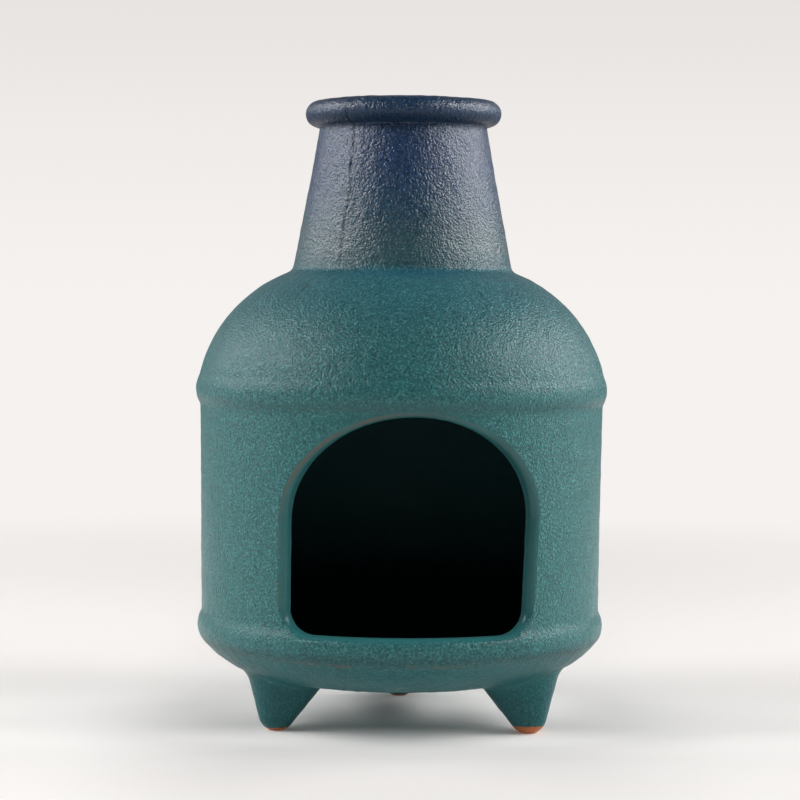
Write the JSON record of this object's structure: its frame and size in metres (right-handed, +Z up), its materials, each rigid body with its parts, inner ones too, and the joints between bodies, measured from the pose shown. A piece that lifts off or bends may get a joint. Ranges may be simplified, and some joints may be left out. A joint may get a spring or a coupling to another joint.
{
  "type": "tabletop chiminea",
  "caption": "Round glazed-earthenware tabletop chiminea with an arched fire mouth, raised bands, a domed shoulder, a tapering chimney with a rolled rim, and short conical feet.",
  "frame": {"origin": "on the ground, on the axis of the round body, at the centre of the bounding box's base", "axes": "+Z up along the chimney, -Y out of the fire mouth, +X to the right of someone who looks into the mouth"},
  "size_m": [0.1588, 0.1588, 0.24],
  "materials": {
    "glaze_teal": "satin sprayed glaze with a fine pebble, teal",
    "glaze_dusk": "satin sprayed glaze with a fine pebble, teal that turns to slate blue towards the top",
    "glaze_navy": "satin sprayed glaze with a fine pebble, navy over slate blue",
    "glaze_foot": "satin sprayed teal glaze, wiped off the tip to the bare orange clay"
  },
  "bodies": {
    "root": {"base_dish": "glaze_teal", "lower_band": "glaze_teal", "belly": "glaze_teal", "shoulder_band": "glaze_teal", "dome": "glaze_dusk", "neck": "glaze_navy", "rim_roll": "glaze_navy", "foot_left": "glaze_foot", "foot_right": "glaze_foot", "foot_rear": "glaze_foot"}
  },
  "joints": []
}
